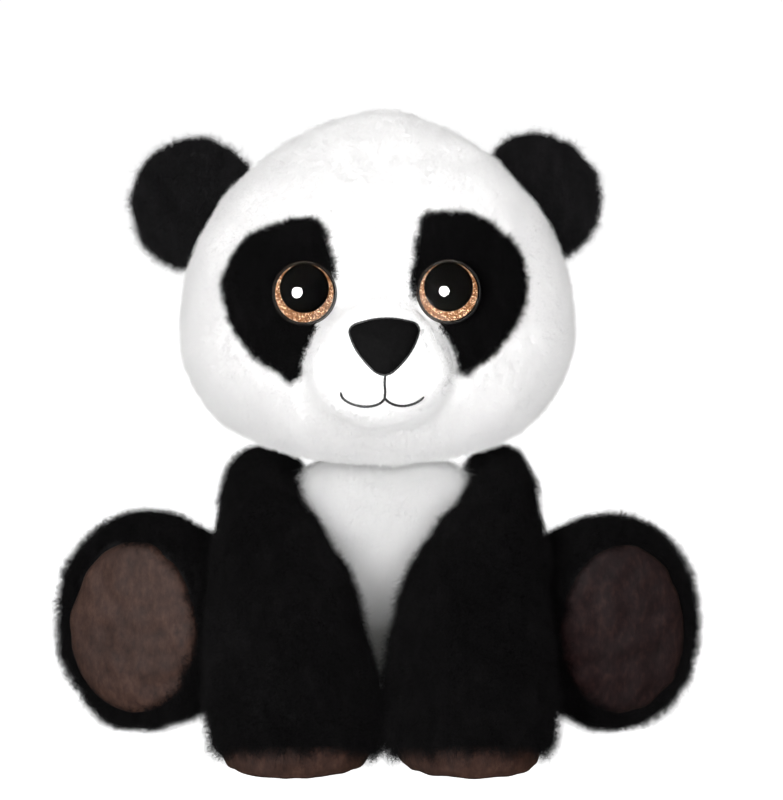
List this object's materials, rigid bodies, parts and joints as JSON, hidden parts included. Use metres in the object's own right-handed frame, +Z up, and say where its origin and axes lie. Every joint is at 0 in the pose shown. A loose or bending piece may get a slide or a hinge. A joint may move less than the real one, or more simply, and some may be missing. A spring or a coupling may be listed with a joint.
{
  "type": "plush panda",
  "caption": "Seated plush panda with a large soft head, round ears, domed eyes, a long-pile chest and limbs that bend at their seams",
  "frame": {"origin": "on the floor under the middle of the bounding box", "axes": "+Z up, the face looks along -Y, +X is the viewer's right"},
  "size_m": [0.2506, 0.1864, 0.2479],
  "materials": {
    "white_plush": "short dense pile, matte",
    "long_white_plush": "longer brushed pile, matte",
    "black_plush": "soft pile with a faint sheen",
    "brown_velour": "very short velour pile",
    "fibrefill": "loose polyester fibre",
    "black_suedette": "matte suedette",
    "black_thread": "twisted embroidery thread",
    "white_thread": "sewing thread",
    "pellet_bag_cloth": "thin woven cloth",
    "clear_plastic": "clear gloss",
    "copper_glitter": "metallic copper glitter",
    "black_gloss_plastic": "gloss",
    "black_plastic": "satin",
    "white_plastic": "satin"
  },
  "bodies": {
    "torso": {"chest_panel": "long_white_plush", "belly_panel": "white_plush", "shoulder_yoke": "black_plush", "back_panel": "white_plush", "seat_panel": "white_plush", "torso_stuffing": "fibrefill", "pellet_bag": "pellet_bag_cloth", "neck_seam_thread": "white_thread"},
    "neck": {"neck_stuffing": "fibrefill"},
    "head": {"face_panel": "white_plush", "head_back_panel": "white_plush", "head_stuffing": "fibrefill", "muzzle_panel": "white_plush", "muzzle_stuffing": "fibrefill", "nose": "black_suedette", "mouth_thread_centre": "black_thread", "mouth_thread_left": "black_thread", "mouth_thread_right": "black_thread", "eye_patch_left": "black_plush", "eye_shank_left": "black_plastic", "eye_glitter_left": "copper_glitter", "eye_pupil_left": "black_gloss_plastic", "eye_lens_left": "clear_plastic", "eye_washer_left": "white_plastic", "eye_patch_right": "black_plush", "eye_shank_right": "black_plastic", "eye_glitter_right": "copper_glitter", "eye_pupil_right": "black_gloss_plastic", "eye_lens_right": "clear_plastic", "eye_washer_right": "white_plastic"},
    "ear_left": {"ear_front_left": "black_plush", "ear_back_left": "black_plush", "ear_filling_left": "fibrefill"},
    "arm_left": {"arm_cover_left": "black_plush", "arm_stuffing_left": "fibrefill", "paw_pad_left": "brown_velour"},
    "leg_left": {"leg_cover_left": "black_plush", "leg_stuffing_left": "fibrefill", "foot_sole_left": "brown_velour"},
    "ear_right": {"ear_front_right": "black_plush", "ear_back_right": "black_plush", "ear_filling_right": "fibrefill"},
    "arm_right": {"arm_cover_right": "black_plush", "arm_stuffing_right": "fibrefill", "paw_pad_right": "brown_velour"},
    "leg_right": {"leg_cover_right": "black_plush", "leg_stuffing_right": "fibrefill", "foot_sole_right": "brown_velour"}
  },
  "joints": [
    {"name": "neck_turn", "type": "hinge", "parent": "torso", "child": "neck", "pos_m": [0.00113, 0.02164, 0.1], "axis": [0, 0, 1], "range_deg": [-30, 30], "stiffness_Nm_per_rad": 0.4},
    {"name": "neck_nod", "type": "hinge", "parent": "neck", "child": "head", "pos_m": [0.00113, 0.02164, 0.1], "axis": [1, 0, 0], "range_deg": [-12, 5], "stiffness_Nm_per_rad": 0.8},
    {"name": "ear_fold_left", "type": "hinge", "parent": "head", "child": "ear_left", "pos_m": [-0.06905, 0.02664, 0.20509], "axis": [0.5144, 0, 0.8575], "range_deg": [-30, 30], "stiffness_Nm_per_rad": 0.02},
    {"name": "ear_fold_right", "type": "hinge", "parent": "head", "child": "ear_right", "pos_m": [0.06672, 0.02664, 0.21203], "axis": [-0.5876, 0, 0.8091], "range_deg": [-30, 30], "stiffness_Nm_per_rad": 0.02},
    {"name": "arm_lift_left", "type": "hinge", "parent": "torso", "child": "arm_left", "pos_m": [-0.04287, 0.02064, 0.081], "axis": [-0.8437, 0.2978, -0.4467], "range_deg": [0, 25], "stiffness_Nm_per_rad": 0.15},
    {"name": "arm_lift_right", "type": "hinge", "parent": "torso", "child": "arm_right", "pos_m": [0.04513, 0.02064, 0.081], "axis": [-0.8437, -0.2978, 0.4467], "range_deg": [0, 25], "stiffness_Nm_per_rad": 0.15},
    {"name": "leg_spread_left", "type": "hinge", "parent": "torso", "child": "leg_left", "pos_m": [-0.04487, 0.05164, 0.031], "axis": [0, 0, -1], "range_deg": [0, 30], "stiffness_Nm_per_rad": 0.15},
    {"name": "leg_spread_right", "type": "hinge", "parent": "torso", "child": "leg_right", "pos_m": [0.04713, 0.05164, 0.031], "axis": [0, 0, 1], "range_deg": [0, 30], "stiffness_Nm_per_rad": 0.15}
  ]
}
